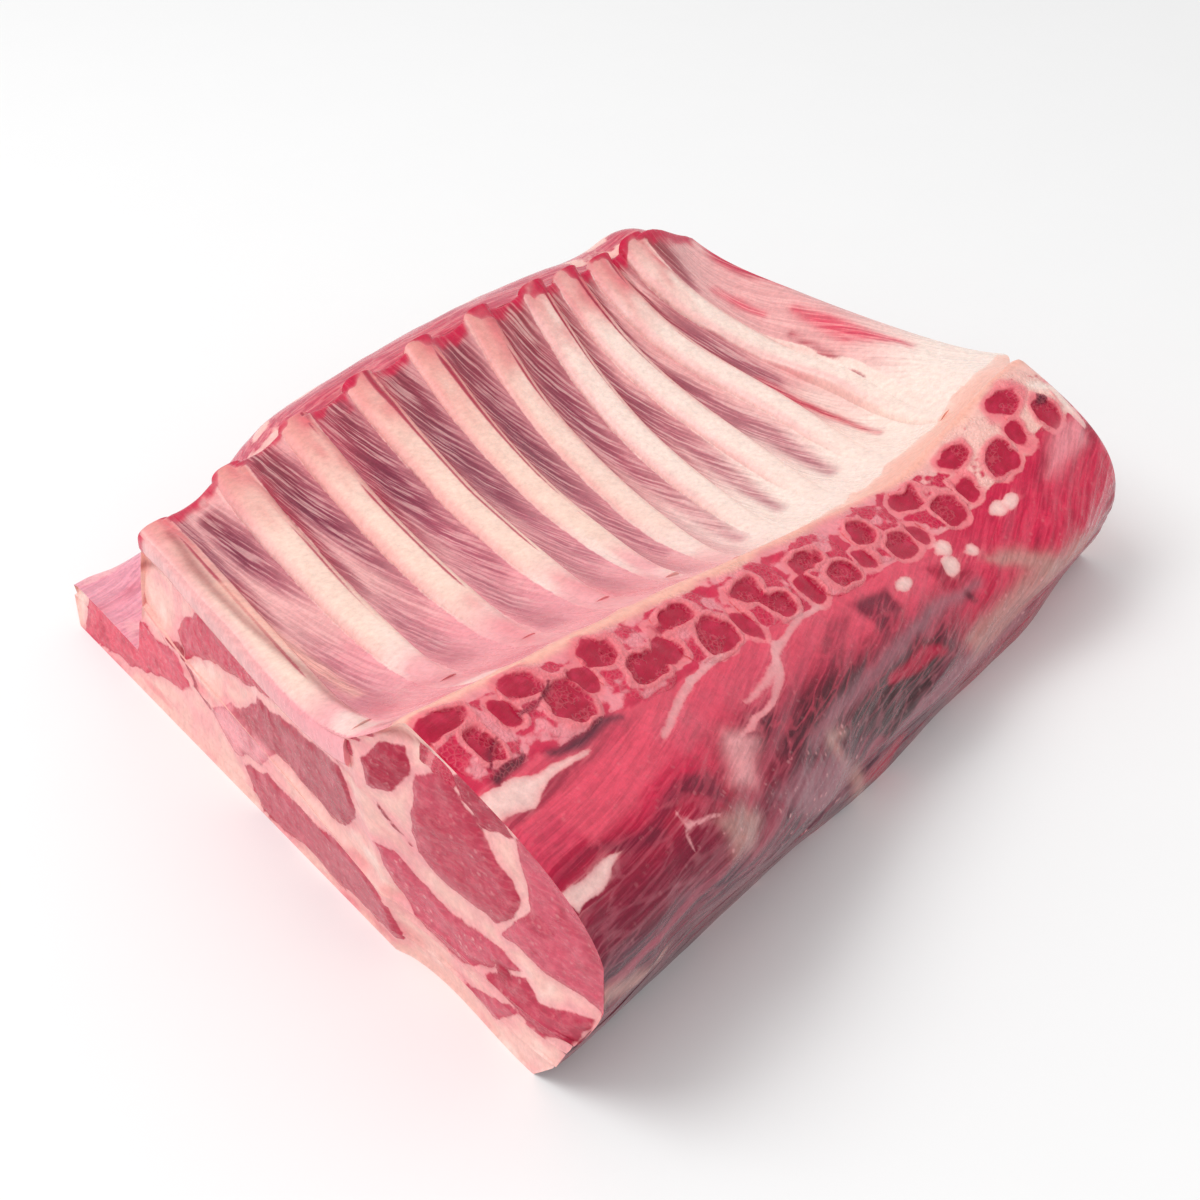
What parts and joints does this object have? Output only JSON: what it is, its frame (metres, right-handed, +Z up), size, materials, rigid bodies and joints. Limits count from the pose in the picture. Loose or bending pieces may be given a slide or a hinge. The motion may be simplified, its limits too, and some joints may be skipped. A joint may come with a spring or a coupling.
{
  "type": "raw rack of lamb",
  "caption": "Raw rib section of lamb with its sawn half spine, lying on its fat with the inside of the ribs facing up.",
  "frame": {"origin": "centre of the bounding box's underside, on the surface that the rack rests on", "axes": "+X along the spine from the neck end to the loin end, +Y from the sawn spine to the rib tips, +Z up, out of the inside of the chest"},
  "size_m": [0.2748, 0.2334, 0.08],
  "materials": {
    "bone": "satin",
    "sawn_bone": "satin",
    "loin_meat": "satin",
    "seam_fat": "satin",
    "outer_meat": "satin",
    "outer_fat": "satin"
  },
  "bodies": {
    "root": {"rib_01": "bone", "rib_02": "bone", "rib_03": "bone", "rib_04": "bone", "rib_05": "bone", "rib_06": "bone", "rib_07": "bone", "rib_08": "bone", "rib_09": "bone", "rib_10": "bone", "vertebra_01": "sawn_bone", "vertebra_02": "sawn_bone", "vertebra_03": "sawn_bone", "vertebra_04": "sawn_bone", "vertebra_05": "sawn_bone", "vertebra_06": "sawn_bone", "vertebra_07": "sawn_bone", "vertebra_08": "sawn_bone", "vertebra_09": "sawn_bone", "vertebra_10": "sawn_bone", "loin": "loin_meat", "fat_seam": "seam_fat", "outer_muscle": "outer_meat", "fat_cap": "outer_fat"}
  },
  "joints": []
}
